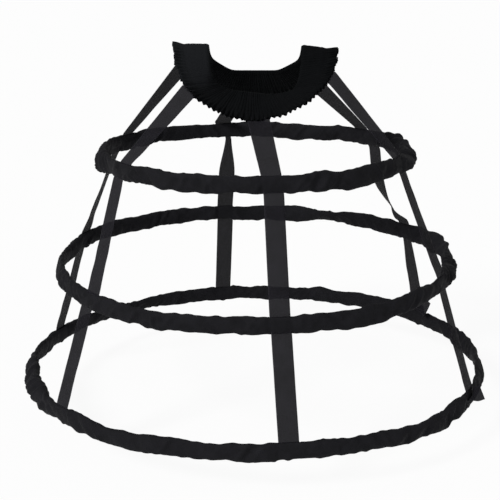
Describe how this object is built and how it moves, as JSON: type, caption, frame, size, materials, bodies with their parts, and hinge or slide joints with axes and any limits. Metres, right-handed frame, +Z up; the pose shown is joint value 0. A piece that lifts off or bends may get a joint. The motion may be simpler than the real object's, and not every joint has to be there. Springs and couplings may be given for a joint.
{
  "type": "crinoline cage",
  "caption": "Black cage petticoat of cloth-covered hoops hung by flat ribbon straps from a gathered elastic waistband.",
  "frame": {"origin": "middle of the waist opening, level with the sagging top edge of the waistband", "axes": "+Z up along the hang of the cage, -Y to the front, +X to the right seen from the front"},
  "size_m": [0.7703, 0.7701, 0.5562],
  "materials": {
    "band_cloth": "matte gathered woven cloth",
    "elastic": "knitted elastic",
    "strap_ribbon": "matte ribbed ribbon",
    "casing_cloth": "puckered plain-woven cloth",
    "hoop_steel": "tempered spring steel",
    "joiner_metal": "plated crimp sleeve"
  },
  "bodies": {
    "root": {"waistband": "band_cloth", "waist_elastic": "elastic", "strap_back_right": "strap_ribbon", "strap_back": "strap_ribbon", "strap_back_left": "strap_ribbon", "strap_front_left": "strap_ribbon", "strap_front": "strap_ribbon", "strap_front_right": "strap_ribbon", "casing_top": "casing_cloth", "casing_mid": "casing_cloth", "casing_low": "casing_cloth", "hoop_bone_top": "hoop_steel", "hoop_bone_mid": "hoop_steel", "hoop_bone_low": "hoop_steel", "bone_joiner_top": "joiner_metal", "bone_joiner_mid": "joiner_metal", "bone_joiner_low": "joiner_metal"}
  },
  "joints": []
}
